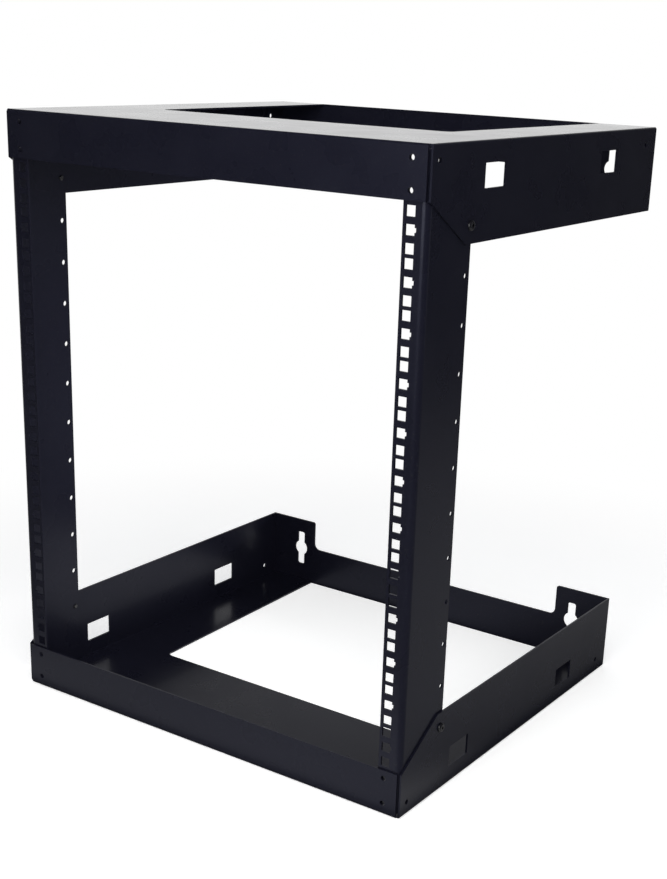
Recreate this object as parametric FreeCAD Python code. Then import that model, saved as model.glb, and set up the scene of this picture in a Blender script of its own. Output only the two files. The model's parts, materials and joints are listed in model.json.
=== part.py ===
# Open frame equipment rack for a wall: two folded steel trays, one turned over, joined by two uprights.
# Millimetres. X is the width, Y runs from the front to the wall, Z is up, and the rack stands on Z = 0.
import FreeCAD
import Part
import math
import os

from FreeCAD import Vector

# Rack standard: one unit of height, and the three square holes in each unit.
unit_height = 44.45
units_high = 12
first_hole = 6.35
hole_step = 15.875
square_hole = 9.5
rail_opening = 450.0
hole_from_opening = 7.55
unit_mark_height = 4.0
unit_mark_reach = 1.5

# Folded sheet.
sheet = 2.0
bend_inside = 0.5
bend_outside = bend_inside + sheet
seam_gap = 0.2

# Uprights: the rail faces the front, the side plate runs back from it.
rail_width = 25.0
side_plate_depth = 74.5
plate_hole_from_edge = 5.7
upright_end_gap = 2.0
upright_bend_inside = 4.0
upright_bend_outside = upright_bend_inside + sheet
corner_access = 9.0

# Trays: a plate with a wide window, and a skirt folded up along each edge.
frame_depth = 460.0
front_skirt_height = 47.5
side_skirt_height = 88.0
back_skirt_height = 50.0
skirt_clearance = 2.0
ramp_length = 64.5
tab_inner_radius = 3.0
tab_root_radius = 8.0
front_skirt_end = 4.0
front_deck_depth = 151.5
strip_width_front = 74.0
strip_width_rear = 66.0
window_corner = 8.0

# Holes in the skirts.
screw_hole = 5.5
frame_hole_near = 12.0
frame_hole_far = 39.0
side_hole_from_front = 13.6
side_hole_rise = 13.8
rear_hole_from_wall = 25.0
rear_hole_rise = 17.0
slot_length = 37.0
slot_height = 22.0
slot_rise = 30.5
slot_from_front = 110.5
slot_from_wall = 114.0

# Keyholes for the wall bolts, open at both ends of the slot so a tray hangs either way up.
keyhole_spacing = 410.0
tab_beyond_keyhole = 22.2
keyhole_rise = 47.5
keyhole_length = 45.5
keyhole_width = 10.5
keyhole_corner = 2.5
keyhole_eye = 19.5

# Sizes that follow from the ones above.
frame_width = rail_opening + 2 * (rail_width + sheet)
unit_start = front_skirt_height + skirt_clearance
frame_height = units_high * unit_height + 2 * unit_start
half_width = frame_width / 2
front = -frame_depth / 2
wall = frame_depth / 2
edge_x = half_width - bend_outside
front_end = half_width - front_skirt_end
seam_x = half_width - sheet - seam_gap
hole_column = rail_opening / 2 + hole_from_opening
plate_hole_y = front + sheet + side_plate_depth - plate_hole_from_edge


def rounded_face(corners):
    # A flat face from corner points, each with its own radius.
    starts = []
    ends = []
    middles = []
    for index, (point, radius) in enumerate(corners):
        back = (corners[index - 1][0] - point).normalize()
        ahead = (corners[(index + 1) % len(corners)][0] - point).normalize()
        half_angle = back.getAngle(ahead) / 2
        reach = radius / math.tan(half_angle)
        starts.append(point + back * reach)
        ends.append(point + ahead * reach)
        inward = radius / math.sin(half_angle) - radius
        middles.append(point + (back + ahead).normalize() * inward if radius else point)
    edges = []
    for index, (point, radius) in enumerate(corners):
        if not starts[index].isEqual(ends[index - 1], Part.Precision.confusion()):
            edges.append(Part.makeLine(ends[index - 1], starts[index]))
        if radius:
            edges.append(Part.Arc(starts[index], middles[index], ends[index]).toShape())
    return Part.Face(Part.Wire(edges))


def round_hole(x, z, diameter):
    # A cutter through a wall that lies on Y = 0.
    return Part.makeCylinder(diameter / 2, 3 * sheet, Vector(x, -sheet, z), Vector(0, 1, 0))


def box_hole(x, z, length, height, corner):
    left = x - length / 2
    right = x + length / 2
    low = z - height / 2
    high = z + height / 2
    outline = [
        (Vector(left, -sheet, low), corner),
        (Vector(right, -sheet, low), corner),
        (Vector(right, -sheet, high), corner),
        (Vector(left, -sheet, high), corner),
    ]
    return rounded_face(outline).extrude(Vector(0, 3 * sheet, 0))


def keyhole(x):
    slot = box_hole(x, keyhole_rise, keyhole_width, keyhole_length, keyhole_corner)
    return slot.fuse(round_hole(x, keyhole_rise, keyhole_eye))


def bend(start, end):
    # The fold between a plate on Z = 0 and a wall on Y = 0: the wall's foot swept a quarter turn.
    foot = Part.makePlane(end - start, sheet, Vector(start, 0, bend_outside))
    return foot.revolve(Vector(start, bend_outside, bend_outside), Vector(1, 0, 0), 90)


def upright_wall(outline, cutters):
    face = rounded_face([(Vector(x, 0, z), radius) for x, z, radius in outline])
    return face.extrude(Vector(0, sheet, 0)).cut(cutters)


def placed(shape, turn, x, y):
    shape.rotate(Vector(0, 0, 0), Vector(0, 0, 1), turn)
    shape.translate(Vector(x, y, 0))
    return shape


def tray_plate():
    # A U of sheet: the window runs back as far as the fold of the back skirt.
    low = front + bend_outside
    high = wall - bend_outside
    window_y = front + front_deck_depth
    window_front = half_width - strip_width_front
    window_rear = half_width - strip_width_rear
    outline = [
        (Vector(-edge_x, low, 0), 0),
        (Vector(edge_x, low, 0), 0),
        (Vector(edge_x, high, 0), 0),
        (Vector(window_rear, high, 0), 0),
        (Vector(window_front, window_y, 0), window_corner),
        (Vector(-window_front, window_y, 0), window_corner),
        (Vector(-window_rear, high, 0), 0),
        (Vector(-edge_x, high, 0), 0),
    ]
    return rounded_face(outline).extrude(Vector(0, 0, sheet))


def deck():
    # The part of the plate in front of the window.
    ahead = Part.makeBox(frame_width, front_deck_depth, sheet, Vector(-half_width, front, 0))
    return tray_plate().common(ahead)


def side_strip():
    # The part of the plate to the right of the window.
    behind = frame_depth - front_deck_depth
    beside = Part.makeBox(half_width, behind, sheet, Vector(0, front + front_deck_depth, 0))
    return tray_plate().common(beside)


def front_skirt():
    outline = [
        (-front_end, bend_outside, 0),
        (front_end, bend_outside, 0),
        (front_end, front_skirt_height, 0),
        (-front_end, front_skirt_height, 0),
    ]
    cutters = []
    for side in (-1, 1):
        for rise in (frame_hole_near, frame_hole_far):
            cutters.append(round_hole(side * hole_column, rise, screw_hole))
    return placed(upright_wall(outline, cutters), 0, 0, front)


def front_bend():
    return placed(bend(-front_end, front_end), 0, 0, front)


def side_skirt():
    # The right-hand one. Along the wall, 0 is the front of the tray.
    outline = [
        (sheet, bend_outside, 0),
        (frame_depth, bend_outside, 0),
        (frame_depth, side_skirt_height, 0),
        (ramp_length, side_skirt_height, 0),
        (sheet, front_skirt_height, 0),
    ]
    cutters = [
        box_hole(slot_from_front, slot_rise, slot_length, slot_height, 0),
        box_hole(frame_depth - slot_from_wall, slot_rise, slot_length, slot_height, 0),
        round_hole(frame_depth - rear_hole_from_wall, rear_hole_rise, screw_hole),
        round_hole(side_hole_from_front, side_hole_rise, screw_hole),
        round_hole(plate_hole_y - front, unit_start + unit_height / 2, screw_hole),
    ]
    return placed(upright_wall(outline, cutters), 90, half_width, front)


def side_bend():
    # It runs on to the wall, so that the rear corner is closed.
    return placed(bend(bend_outside, frame_depth), 90, half_width, front)


def back_skirt():
    # Low in the middle, with a tall tab at each end that hangs on a wall bolt.
    tab = keyhole_spacing / 2 - tab_beyond_keyhole
    outline = [
        (-seam_x, bend_outside, 0),
        (seam_x, bend_outside, 0),
        (seam_x, side_skirt_height, 0),
        (tab, side_skirt_height, tab_inner_radius),
        (tab, back_skirt_height, tab_root_radius),
        (-tab, back_skirt_height, tab_root_radius),
        (-tab, side_skirt_height, tab_inner_radius),
        (-seam_x, side_skirt_height, 0),
    ]
    cutters = [keyhole(side * keyhole_spacing / 2) for side in (-1, 1)]
    return placed(upright_wall(outline, cutters), 180, 0, wall)


def back_bend():
    return placed(bend(-edge_x, edge_x), 180, 0, wall)


def square_cutters():
    # Three square holes to a unit. The middle one has a nick that marks the unit.
    cutters = []
    for unit in range(units_high):
        for place in range(3):
            rise = unit_start + unit * unit_height + first_hole + place * hole_step
            cutter = box_hole(hole_column, rise, square_hole, square_hole, 0)
            if place == 1:
                nick_length = square_hole + unit_mark_reach
                nick_middle = hole_column + unit_mark_reach / 2
                cutter = cutter.fuse(box_hole(nick_middle, rise, nick_length, unit_mark_height, 0))
            cutters.append(cutter)
    return cutters


def rail():
    # The right-hand one: a flat strip just behind the front skirts.
    low = bend_outside + upright_end_gap
    length = frame_height - 2 * low
    strip = Part.makeBox(rail_width - upright_bend_outside, sheet, length, Vector(rail_opening / 2, 0, low))
    cutters = square_cutters()
    for rise in (frame_hole_near, frame_hole_far):
        cutters.append(round_hole(hole_column, rise, screw_hole))
        cutters.append(round_hole(hole_column, frame_height - rise, screw_hole))
    return placed(strip.cut(cutters), 0, 0, front + sheet)


def upright_bend():
    # The right-hand one: the fold between the rail and the side plate.
    low = bend_outside + upright_end_gap
    length = frame_height - 2 * low
    centre = Vector(half_width - sheet - upright_bend_outside, front + sheet + upright_bend_outside, low)
    around = Vector(0, 0, 1)
    outer = Part.makeCylinder(upright_bend_outside, length, centre, around, 90)
    inner = Part.makeCylinder(upright_bend_inside, length, centre, around, 90)
    fold = outer.cut(inner)
    fold.rotate(centre, around, -90)
    return fold


def side_plate():
    # The right-hand one: it runs back from the fold, with one hole to a unit and a wider one behind each corner hole.
    low = bend_outside + upright_end_gap
    length = frame_height - 2 * low
    inner_x = half_width - 2 * sheet
    fold_end = front + sheet + upright_bend_outside
    depth = side_plate_depth - upright_bend_outside
    panel = Part.makeBox(sheet, depth, length, Vector(inner_x, fold_end, low))
    places = [(plate_hole_y, unit_start + (unit + 0.5) * unit_height, screw_hole) for unit in range(units_high)]
    for rise in (side_hole_rise, frame_height - side_hole_rise):
        places.append((front + side_hole_from_front, rise, corner_access))
    cutters = []
    for y, z, diameter in places:
        centre = Vector(inner_x - sheet, y, z)
        cutters.append(Part.makeCylinder(diameter / 2, 3 * sheet, centre, Vector(1, 0, 0)))
    return panel.cut(cutters)


def mirrored(shape):
    return shape.mirror(Vector(0, 0, 0), Vector(1, 0, 0))


def turned_over(shape):
    return shape.mirror(Vector(0, 0, frame_height / 2), Vector(0, 0, 1))


tray = {
    "front_deck": deck(),
    "front_bend": front_bend(),
    "front_skirt": front_skirt(),
    "back_bend": back_bend(),
    "back_skirt": back_skirt(),
}
right_side_of_tray = {
    "strip": side_strip(),
    "bend": side_bend(),
    "skirt": side_skirt(),
}
for name, shape in right_side_of_tray.items():
    tray["right_" + name] = shape
    tray["left_" + name] = mirrored(shape)
right_upright = {
    "rail": rail(),
    "rail_bend": upright_bend(),
    "side_plate": side_plate(),
}

nodes = {}
for name, shape in tray.items():
    nodes["bottom_" + name] = shape
    nodes["top_" + name] = turned_over(shape)
for name, shape in right_upright.items():
    nodes["right_" + name] = shape
    nodes["left_" + name] = mirrored(shape)

os.makedirs("parts", exist_ok=True)
for name, shape in nodes.items():
    solid = shape.Solids[0]
    solid.exportStep(os.path.join("parts", name + ".step"))
    print(name, len(shape.Solids), "solid", round(solid.Volume), "mm3")
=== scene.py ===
# Looks and studio for the open frame wall rack
import json
import math
import bpy
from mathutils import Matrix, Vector


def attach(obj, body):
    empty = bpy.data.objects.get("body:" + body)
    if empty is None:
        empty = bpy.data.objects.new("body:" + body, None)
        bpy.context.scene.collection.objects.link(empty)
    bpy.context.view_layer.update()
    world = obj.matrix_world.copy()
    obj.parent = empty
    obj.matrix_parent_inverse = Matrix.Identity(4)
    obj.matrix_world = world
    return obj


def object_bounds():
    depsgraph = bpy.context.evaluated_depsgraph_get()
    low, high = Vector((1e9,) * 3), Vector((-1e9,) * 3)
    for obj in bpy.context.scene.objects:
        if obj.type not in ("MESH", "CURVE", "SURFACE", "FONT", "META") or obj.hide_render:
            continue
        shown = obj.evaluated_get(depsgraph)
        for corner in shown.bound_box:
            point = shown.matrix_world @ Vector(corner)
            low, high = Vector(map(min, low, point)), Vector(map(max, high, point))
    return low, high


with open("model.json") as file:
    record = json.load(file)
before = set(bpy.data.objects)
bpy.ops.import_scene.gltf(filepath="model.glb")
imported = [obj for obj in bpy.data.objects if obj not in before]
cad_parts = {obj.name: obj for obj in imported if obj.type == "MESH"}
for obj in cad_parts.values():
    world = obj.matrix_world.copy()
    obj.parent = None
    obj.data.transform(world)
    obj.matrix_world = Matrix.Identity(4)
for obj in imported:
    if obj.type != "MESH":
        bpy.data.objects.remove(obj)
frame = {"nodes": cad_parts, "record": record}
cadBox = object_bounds()
nodes = frame["nodes"]
print("frame loaded:", len(nodes), "nodes")

millimetre = 0.001


# node helpers: a term is a plain value, or the output that feeds the socket

def newMaterial(name):
    material = bpy.data.materials.new(name)
    material.use_nodes = True
    material.node_tree.nodes.clear()
    return material


def addNode(tree, kind, place, **settings):
    node = tree.nodes.new(kind)
    node.location = place
    for setting, value in settings.items():
        setattr(node, setting, value)
    return node


def feed(tree, socket, term):
    if isinstance(term, bpy.types.NodeSocket):
        tree.links.new(term, socket)
    else:
        socket.default_value = term


def addMath(tree, place, operation, *terms):
    node = addNode(tree, "ShaderNodeMath", place, operation=operation)
    for socket, term in zip(node.inputs, terms):
        feed(tree, socket, term)
    return node.outputs["Value"]


def addDot(tree, place, vector, direction):
    node = addNode(tree, "ShaderNodeVectorMath", place, operation="DOT_PRODUCT")
    feed(tree, node.inputs[0], vector)
    feed(tree, node.inputs[1], direction)
    return node.outputs["Value"]


def addRange(tree, place, value, ends, ease="SMOOTHSTEP"):
    # ends: from low, from high, and then to low, to high where these aren't 0 and 1
    node = addNode(tree, "ShaderNodeMapRange", place, interpolation_type=ease)
    feed(tree, node.inputs["Value"], value)
    for label, end in zip(("From Min", "From Max", "To Min", "To Max"), ends):
        feed(tree, node.inputs[label], end)
    return node.outputs["Result"]


def addMix(tree, place, kind, factor, first, second):
    node = addNode(tree, "ShaderNodeMix", place, data_type=kind)
    for label, term in (("Factor", factor), ("A", first), ("B", second)):
        feed(tree, node.inputs[label], term)
    return node.outputs["Result"]


def mixShaders(tree, place, factor, first, second):
    node = addNode(tree, "ShaderNodeMixShader", place)
    for socket, term in zip(node.inputs, (factor, first, second)):
        feed(tree, socket, term)
    return node.outputs["Shader"]


# grain of the finishes: drift of tone, dull specks and orange peel

coatGrain = {
    "mottleDetail": 3.0,
    "speckDetail": 1.0,
    "peelDetail": 2.0,
    "speckSpan": (0.64, 0.76),  # only the tops of the noise are specks
}


def makeCoatGroup(detail):
    group = bpy.data.node_groups.new("coatGrain", "ShaderNodeTree")
    for label in ("Peel Size", "Mottle Size", "Speck Size"):
        group.interface.new_socket(label, in_out="INPUT", socket_type="NodeSocketFloat")
    for label in ("Mottle", "Specks", "Peel"):
        group.interface.new_socket(label, in_out="OUTPUT", socket_type="NodeSocketFloat")
    start = addNode(group, "NodeGroupInput", (-900, 0))
    end = addNode(group, "NodeGroupOutput", (500, 0))
    where = addNode(group, "ShaderNodeTexCoord", (-900, 300))

    def noiseAt(row, sizeLabel, fineness):
        scale = addMath(group, (-650, row), "DIVIDE", 1.0, start.outputs[sizeLabel])
        noise = addNode(group, "ShaderNodeTexNoise", (-400, row))
        feed(group, noise.inputs["Vector"], where.outputs["Object"])
        feed(group, noise.inputs["Scale"], scale)
        feed(group, noise.inputs["Detail"], fineness)
        return noise.outputs["Fac"]

    mottle = noiseAt(300, "Mottle Size", detail["mottleDetail"])
    specks = noiseAt(0, "Speck Size", detail["speckDetail"])
    peel = noiseAt(-300, "Peel Size", detail["peelDetail"])
    few = addRange(group, (-100, 0), specks, detail["speckSpan"], "LINEAR")
    feed(group, end.inputs["Mottle"], mottle)
    feed(group, end.inputs["Specks"], few)
    feed(group, end.inputs["Peel"], peel)
    return group


coatGroup = makeCoatGroup(coatGrain)
print("coat grain group ready")


def startFinish(name, finish):
    # gloss and relief from the grain; each finish adds its own colour
    material = newMaterial(name)
    tree = material.node_tree
    out = addNode(tree, "ShaderNodeOutputMaterial", (700, 0))
    shader = addNode(tree, "ShaderNodeBsdfPrincipled", (400, 0))
    grain = addNode(tree, "ShaderNodeGroup", (-500, 0), node_tree=coatGroup)
    grain.inputs["Peel Size"].default_value = finish["peelSize"]
    grain.inputs["Mottle Size"].default_value = finish["mottleSize"]
    grain.inputs["Speck Size"].default_value = finish["speckSize"]
    roughEnds = (*finish["mottleSpan"], *finish["roughness"])
    rough = addRange(tree, (-200, -50), grain.outputs["Mottle"], roughEnds, "LINEAR")
    bump = addNode(tree, "ShaderNodeBump", (50, -250))
    bump.inputs["Distance"].default_value = finish["peelHeight"]
    feed(tree, bump.inputs["Height"], grain.outputs["Peel"])
    feed(tree, shader.inputs["Roughness"], rough)
    feed(tree, shader.inputs["Normal"], bump.outputs["Normal"])
    shader.inputs["Specular IOR Level"].default_value = finish["specular"]
    feed(tree, out.inputs["Surface"], shader.outputs["BSDF"])
    return material, shader, grain


powderCoat = {
    "deep": (0.0074, 0.0075, 0.0140, 1.0),
    "pale": (0.0098, 0.0100, 0.0176, 1.0),
    "speck": (0.016, 0.016, 0.020, 1.0),
    "peelSize": 0.0011,  # one bump of the orange peel, m
    "mottleSize": 0.05,  # slow drift of gloss over a panel, m
    "speckSize": 0.0018,  # spacing of dull specks, m
    "mottleSpan": (0.3, 0.7),
    "roughness": (0.25, 0.33),
    "peelHeight": 0.000004,
    "specular": 0.104,
    "sheen": (0.74, 0.78, 1.0, 1.0),  # tint of the gloss seen straight on
    "clear": 0.90,
    "clearRough": 0.10,
    "clearIndex": 1.06,
}


def makePowderCoat(coat):
    material, shader, grain = startFinish("powderCoat", coat)
    tree = material.node_tree
    tone = addMix(tree, (-200, 200), "RGBA", grain.outputs["Mottle"], coat["deep"], coat["pale"])
    specked = addMix(tree, (50, 200), "RGBA", grain.outputs["Specks"], tone, coat["speck"])
    feed(tree, shader.inputs["Base Color"], specked)
    shader.inputs["Specular Tint"].default_value = coat["sheen"]
    shader.inputs["Coat Weight"].default_value = coat["clear"]
    shader.inputs["Coat Roughness"].default_value = coat["clearRough"]
    shader.inputs["Coat IOR"].default_value = coat["clearIndex"]
    return material


coatMaterial = makePowderCoat(powderCoat)
for node in nodes.values():
    node.data.materials.clear()
    node.data.materials.append(coatMaterial)
print("powder coat on", len(nodes), "nodes")


# assembly screws: button head outside the side skirt, threaded into the upright

rampScrew = {
    "headRadius": 0.00475,
    "headHeight": 0.00275,
    "headSides": 48,
    "domeRound": 0.0021,
    "domeSteps": 7,
    "socketAcross": 0.0030,  # flat to flat
    "socketDepth": 0.0016,
    "socketSides": 6,
    "shankRadius": 0.0025,
    "plainLength": 0.0016,
    "threadPitch": 0.0008,
    "threadDepth": 0.0004,
    "threadTurns": 4,
    "tipShare": 0.82,  # the last half turn narrows to this
    "endFacing": 0.9,  # an end face looks up or down at least this squarely
    "smoothAngle": 32.0,  # degrees
    "spins": {"rightLower": 14.0, "rightUpper": 41.0, "leftLower": 27.0, "leftUpper": 3.0},  # degrees
}

blackScrew = {
    "deep": (0.0060, 0.0061, 0.0085, 1.0),
    "worn": (0.014, 0.014, 0.017, 1.0),
    "peelSize": 0.0006,
    "mottleSize": 0.004,
    "speckSize": 0.0006,
    "mottleSpan": (0.3, 0.7),
    "roughness": (0.22, 0.36),
    "peelHeight": 0.000004,
    "specular": 0.50,
}


def makeBlackScrew(finish):
    material, shader, grain = startFinish("blackScrew", finish)
    tree = material.node_tree
    tone = addMix(tree, (-200, 200), "RGBA", grain.outputs["Specks"], finish["deep"], finish["worn"])
    feed(tree, shader.inputs["Base Color"], tone)
    return material


def selectEnd(piece, up, facing):
    # the faces at the upper end for 1, at the lower end for -1
    bpy.ops.object.mode_set(mode="EDIT")
    bpy.ops.mesh.select_mode(type="FACE")
    bpy.ops.mesh.select_all(action="DESELECT")
    bpy.ops.object.mode_set(mode="OBJECT")
    for face in piece.data.polygons:
        face.select = face.normal.z * up > facing
    bpy.ops.object.mode_set(mode="EDIT")


def extrudeDown(length, share=1.0):
    bpy.ops.mesh.extrude_region_move(TRANSFORM_OT_translate={"value": (0, 0, -length)})
    bpy.ops.transform.resize(value=(share, share, 1))


def addCylinder(name, sides, radius, depth, middle):
    bpy.ops.object.select_all(action="DESELECT")
    bpy.ops.mesh.primitive_cylinder_add(vertices=sides, radius=radius, depth=depth, location=middle)
    piece = bpy.context.active_object
    piece.name = name
    bpy.ops.object.transform_apply(location=True, rotation=True, scale=True)
    return piece


def cutWith(piece, tool):
    bpy.ops.object.select_all(action="DESELECT")
    piece.select_set(True)
    bpy.context.view_layer.objects.active = piece
    cut = piece.modifiers.new("cut", "BOOLEAN")
    cut.operation = "DIFFERENCE"
    cut.solver = "EXACT"
    cut.object = tool
    bpy.ops.object.modifier_apply(modifier=cut.name)
    bpy.data.objects.remove(tool, do_unlink=True)


def makeScrew(size):
    head = size["headHeight"]
    screw = addCylinder("rampScrew", size["headSides"], size["headRadius"], head, (0, 0, head / 2))
    selectEnd(screw, 1, size["endFacing"])
    bpy.ops.mesh.bevel(offset=size["domeRound"], segments=size["domeSteps"], affect="EDGES")
    selectEnd(screw, -1, size["endFacing"])
    bpy.ops.mesh.inset(thickness=size["headRadius"] - size["shankRadius"])
    extrudeDown(size["plainLength"])
    halfTurn = size["threadPitch"] / 2
    root = 1.0 - size["threadDepth"] / size["shankRadius"]
    for turn in range(size["threadTurns"]):  # in to the root and out to the crest
        extrudeDown(halfTurn, root)
        extrudeDown(halfTurn, 1.0 / root)
    extrudeDown(halfTurn, size["tipShare"])
    bpy.ops.object.mode_set(mode="OBJECT")
    socketRadius = size["socketAcross"] / 2 / math.cos(math.pi / size["socketSides"])
    socketDepth = 2 * size["socketDepth"]  # half of the tool stands clear of the head
    socket = addCylinder("socketTool", size["socketSides"], socketRadius, socketDepth, (0, 0, head))
    cutWith(screw, socket)
    bpy.ops.object.shade_smooth_by_angle(angle=math.radians(size["smoothAngle"]))
    return screw


def placeCopy(model, name, place, side, spin):
    copy = model.copy()
    copy.data = model.data.copy()
    copy.name = copy.data.name = name
    bpy.context.collection.objects.link(copy)
    copy.rotation_euler = (0, side * math.pi / 2, 0)
    copy.rotation_euler.rotate_axis("Z", math.radians(spin))
    copy.location = place
    bpy.ops.object.select_all(action="DESELECT")
    copy.select_set(True)
    bpy.context.view_layer.objects.active = copy
    bpy.ops.object.transform_apply(location=True, rotation=True, scale=True)
    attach(copy, "root")


screwModel = makeScrew(rampScrew)
screwModel.data.materials.append(makeBlackScrew(blackScrew))
mounts = {mount["name"]: mount for mount in frame["record"]["mounts"]}
for sideName, side in (("right", 1), ("left", -1)):
    holes = mounts[sideName + "_ramp_holes"]  # one at the top and one at the bottom
    x, y, middle = holes["pos_m"]
    rise = holes["dims"]["spacing_y_mm"] * millimetre / 2
    for levelName, z in (("Lower", middle - rise), ("Upper", middle + rise)):
        label = sideName + levelName
        placeCopy(screwModel, "rampScrew." + label, (x, y, z), side, rampScrew["spins"][label])
bpy.data.objects.remove(screwModel, do_unlink=True)
print("screws placed")


# studio: pale floor, soft lamps, white backdrop

floorPlan = {
    "size": 3.6,
    "drop": 0.0005,  # lies just under the base, m
    "colour": (0.80, 0.80, 0.79, 1.0),
    "shade": (0.76, 0.76, 0.755, 1.0),
    "mottleScale": 9.0,
    "lift": 0.58,  # glow that brings the lit floor up to white where it is seen
    "whiteSpan": (0.45, 0.95),  # it turns to plain backdrop between these distances, m
    "glossSide": (0.9, 0.4, 0.0),  # gloss sees a painted glow in place of the lit floor, one in front and another this way
    "glossSpan": (0.08, 0.24),
    "frontLevels": (0.38, 0.54, 1.15, 0.28),  # painted glow, each dies away: from m, to m, from level, to level
    "rightLevels": (0.55, 2.2, 0.46, 0.055),
    "frontLean": (-0.20, 0.20, 1.0, 1.4),  # and the painted glow changes with x: from m, to m, from share, to share
    "rightLean": (cadBox[1][0], 0.38, 0.45, 1.0),  # starts at the rack's right side, painted dimmer next to it
    "paintedContactShade": (0.0, 0.022, 0.12, 1.0),  # painted shade beside the base in what gloss sees: from m, to m, from share, to share
}


def makePaleFloor(plan):
    material = newMaterial("paleFloor")
    tree = material.node_tree
    out = addNode(tree, "ShaderNodeOutputMaterial", (1300, 0))
    path = addNode(tree, "ShaderNodeLightPath", (-850, -300))
    where = addNode(tree, "ShaderNodeTexCoord", (-1300, 0)).outputs["Object"]
    away = addNode(tree, "ShaderNodeVectorMath", (-850, -50), operation="LENGTH")
    feed(tree, away.inputs[0], where)
    distance = away.outputs["Value"]

    # lit floor with a faint mottle
    noise = addNode(tree, "ShaderNodeTexNoise", (-600, 350))
    feed(tree, noise.inputs["Vector"], where)
    feed(tree, noise.inputs["Scale"], plan["mottleScale"])
    tone = addMix(tree, (-300, 350), "RGBA", noise.outputs["Fac"], plan["colour"], plan["shade"])
    matt = addNode(tree, "ShaderNodeBsdfDiffuse", (200, 100))
    feed(tree, matt.inputs["Color"], tone)

    # white where the camera sees it, with the shadow kept near the rack
    straight = (path.outputs["Is Camera Ray"], path.outputs["Is Transmission Ray"])
    seen = addMath(tree, (-600, -300), "MAXIMUM", *straight)
    fade = addRange(tree, (-600, -50), distance, plan["whiteSpan"])
    share = addMath(tree, (-300, -200), "MULTIPLY", fade, seen)
    glow = addNode(tree, "ShaderNodeEmission", (200, -100))
    feed(tree, glow.inputs["Strength"], addMath(tree, (-50, -150), "MULTIPLY", seen, plan["lift"]))
    lifted = addNode(tree, "ShaderNodeAddShader", (450, 0))
    feed(tree, lifted.inputs[0], matt.outputs["BSDF"])
    feed(tree, lifted.inputs[1], glow.outputs["Emission"])
    white = addNode(tree, "ShaderNodeEmission", (450, -250))
    plain = mixShaders(tree, (700, 0), share, lifted.outputs["Shader"], white.outputs["Emission"])

    # what gloss sees of it: a painted glow on two sides, not lit by the lamps, with painted shade beside
    # the base
    split = addNode(tree, "ShaderNodeSeparateXYZ", (-1050, -1300))
    feed(tree, split.inputs["Vector"], where)
    along = addDot(tree, (-850, -550), where, plan["glossSide"])
    slope = addRange(tree, (-600, -550), along, plan["glossSpan"])
    levels = []
    for side, row in (("front", -750), ("right", -1150)):
        level = addRange(tree, (-600, row), distance, plan[side + "Levels"])
        lean = addRange(tree, (-600, row - 200), split.outputs["X"], plan[side + "Lean"])
        levels.append(addMath(tree, (-350, row), "MULTIPLY", level, lean))
    gloss = addMix(tree, (-100, -750), "FLOAT", slope, *levels)
    past = []
    for axis, half, row in zip("XY", cadBox[1], (-1550, -1750)):
        size = addMath(tree, (-850, row), "ABSOLUTE", split.outputs[axis])
        past.append(addMath(tree, (-600, row), "SUBTRACT", size, half))
    outside = addMath(tree, (-350, -1550), "MAXIMUM", *past)
    fromEdge = addMath(tree, (-100, -1550), "ABSOLUTE", outside)
    paintedContactShade = addRange(tree, (150, -1550), fromEdge, plan["paintedContactShade"])
    # painted reflection: gloss sees this glow, not the lit floor
    paintedGlossGlow = addNode(tree, "ShaderNodeEmission", (700, -750))
    feed(tree, paintedGlossGlow.inputs["Strength"], addMath(tree, (400, -750), "MULTIPLY", gloss, paintedContactShade))
    mirrored = path.outputs["Is Glossy Ray"]
    final = mixShaders(tree, (1000, 0), mirrored, plain, paintedGlossGlow.outputs["Emission"])
    feed(tree, out.inputs["Surface"], final)
    return material


def makeFloor(plan):
    bpy.ops.object.select_all(action="DESELECT")
    bpy.ops.mesh.primitive_plane_add(size=plan["size"], location=(0, 0, -plan["drop"]))
    floor = bpy.context.active_object
    floor.name = "studioFloor"
    floor.data.materials.append(makePaleFloor(plan))


makeFloor(floorPlan)

wideOpen = 180.0  # spread of a lamp that has none of its own, degrees

lamps = {
    "upperBox": {
        "place": (0.38, -0.80, 1.25), "aim": (0.0, -0.1, 0.25), "size": (0.9, 0.9),
        "power": 8.4, "diffuse": True, "gloss": False,
    },
    "frontBox": {
        "place": (0.30, -1.05, 0.55), "aim": (0.22, 0.0, 0.40), "size": (0.42, 0.8),
        "power": 3.0, "diffuse": True, "gloss": False,
    },
    "foldStrip": {  # gives the uprights' folds their highlight
        "place": (0.195, -1.3, 0.79), "aim": (0.195, 0.0, 0.72), "size": (0.85, 0.8),
        "power": 15.2, "diffuse": False, "gloss": True,
    },
    "rightBox": {
        "place": (2.3, -0.5, 1.35), "aim": (0.0, 0.0, 0.30), "size": (0.9, 0.9),
        "power": 14.5, "diffuse": True, "gloss": False,
    },
    "innerBox": {  # from behind, on the inside of the left upright
        "place": (0.12, 0.80, 0.37), "aim": (-0.25, -0.19, 0.30), "size": (0.15, 0.25), "spread": 40.0,
        "power": 0.95, "diffuse": True, "gloss": False,
    },
}


def makeLamp(name, lamp):
    bpy.ops.object.light_add(type="AREA", location=lamp["place"])
    box = bpy.context.active_object
    box.name = name
    box.data.shape = "RECTANGLE"
    box.data.size, box.data.size_y = lamp["size"]
    box.data.energy = lamp["power"]
    box.data.spread = math.radians(lamp.get("spread", wideOpen))
    direction = Vector(lamp["aim"]) - Vector(lamp["place"])
    box.rotation_euler = direction.to_track_quat("-Z", "Y").to_euler()
    box.visible_camera = False
    box.visible_diffuse = lamp["diffuse"]
    box.visible_glossy = lamp["gloss"]


for lampName, lamp in lamps.items():
    makeLamp(lampName, lamp)


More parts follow.
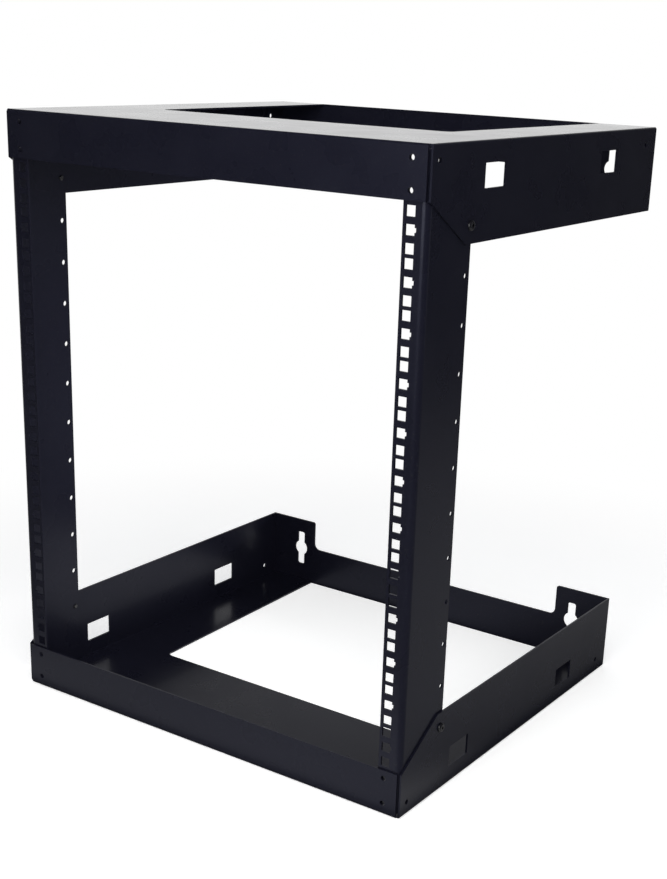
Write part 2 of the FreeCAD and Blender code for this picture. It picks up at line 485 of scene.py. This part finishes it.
backdrop = {
    "white": (1.0, 1.0, 1.0, 1.0),
    "fill": (0.14, 0.143, 0.15, 1.0),  # light that reaches matt surfaces from all round
    "backFill": 13.0,  # and how much more of it comes from the backdrop
    "room": 0.03,  # what gloss sees beside the backdrop and overhead
    "facing": (-0.80, 0.60, 0.0),  # from the rack to the middle of the backdrop
    "facingSpan": (0.27, 0.80),  # soft edge at its sides
    "topSpan": (0.75, 0.20),  # and at its top
    "cardFacing": (0.94, 0.34, 0.0),  # white card at the right, seen by gloss
    "cardLevels": (0.85, 0.97, 0.0, 1.4),
    "cardSide": (-0.57, 0.82, 0.0),  # only its part this way is kept, so the right fold has one highlight
    "cardSpan": (-0.10, 0.08),
}


def makeWorld(plan):
    world = bpy.data.worlds.new("studioWorld")
    bpy.context.scene.world = world
    world.use_nodes = True
    tree = world.node_tree
    tree.nodes.clear()
    out = addNode(tree, "ShaderNodeOutputWorld", (900, 0))
    path = addNode(tree, "ShaderNodeLightPath", (-600, 400))
    where = addNode(tree, "ShaderNodeTexCoord", (-900, -200)).outputs["Generated"]
    split = addNode(tree, "ShaderNodeSeparateXYZ", (-700, -400))
    feed(tree, split.inputs["Vector"], where)
    along = addDot(tree, (-700, -100), where, plan["facing"])
    behind = addRange(tree, (-450, -100), along, plan["facingSpan"])
    low = addRange(tree, (-450, -400), split.outputs["Z"], plan["topSpan"])
    sheet = addMath(tree, (-200, -100), "MULTIPLY", behind, low)
    beside = addDot(tree, (-700, -700), where, plan["cardFacing"])
    wholeCard = addRange(tree, (-450, -700), beside, plan["cardLevels"])
    across = addDot(tree, (-700, -950), where, plan["cardSide"])
    kept = addRange(tree, (-450, -950), across, plan["cardSpan"])
    card = addMath(tree, (-200, -700), "MULTIPLY", wholeCard, kept)

    # matt surfaces get a soft fill, stronger from the backdrop
    fill = addNode(tree, "ShaderNodeBackground", (300, 150))
    strength = addMath(tree, (50, 100), "MULTIPLY_ADD", sheet, plan["backFill"], 1.0)
    feed(tree, fill.inputs["Color"], plan["fill"])
    feed(tree, fill.inputs["Strength"], strength)

    # the camera sees white all round, gloss sees the backdrop, the card and the dim room
    bright = addMath(tree, (-200, -400), "MAXIMUM", sheet, card)
    lit = addMath(tree, (-50, -250), "MAXIMUM", bright, plan["room"])
    shown = addMath(tree, (100, -200), "MAXIMUM", lit, path.outputs["Is Camera Ray"])
    white = addNode(tree, "ShaderNodeBackground", (300, -150))
    feed(tree, white.inputs["Color"], plan["white"])
    feed(tree, white.inputs["Strength"], shown)

    straight = (path.outputs["Is Camera Ray"], path.outputs["Is Transmission Ray"])
    direct = addMath(tree, (-300, 400), "MAXIMUM", *straight)
    seen = addMath(tree, (-100, 400), "MAXIMUM", direct, path.outputs["Is Glossy Ray"])
    final = mixShaders(tree, (600, 0), seen, fill.outputs["Background"], white.outputs["Background"])
    feed(tree, out.inputs["Surface"], final)


makeWorld(backdrop)
print("studio ready")


photoCamera = {
    "place": (0.8840, -1.2678, 0.7149),
    "turn": (70.615, -2.031, 34.310),  # degrees
    "sensor": 36.0,
    "lens": 58.57,
    "shift": (-0.0295, 0.1116),
    "clipStart": 0.01,
}

bpy.ops.object.camera_add(location=photoCamera["place"])
camera = bpy.context.active_object
camera.name = "photoCamera"
camera.rotation_euler = [math.radians(angle) for angle in photoCamera["turn"]]
camera.data.sensor_width = photoCamera["sensor"]
camera.data.lens = photoCamera["lens"]
camera.data.shift_x, camera.data.shift_y = photoCamera["shift"]
camera.data.clip_start = photoCamera["clipStart"]
bpy.context.scene.camera = camera
bpy.context.scene.view_settings.view_transform = "Standard"
print("camera set")
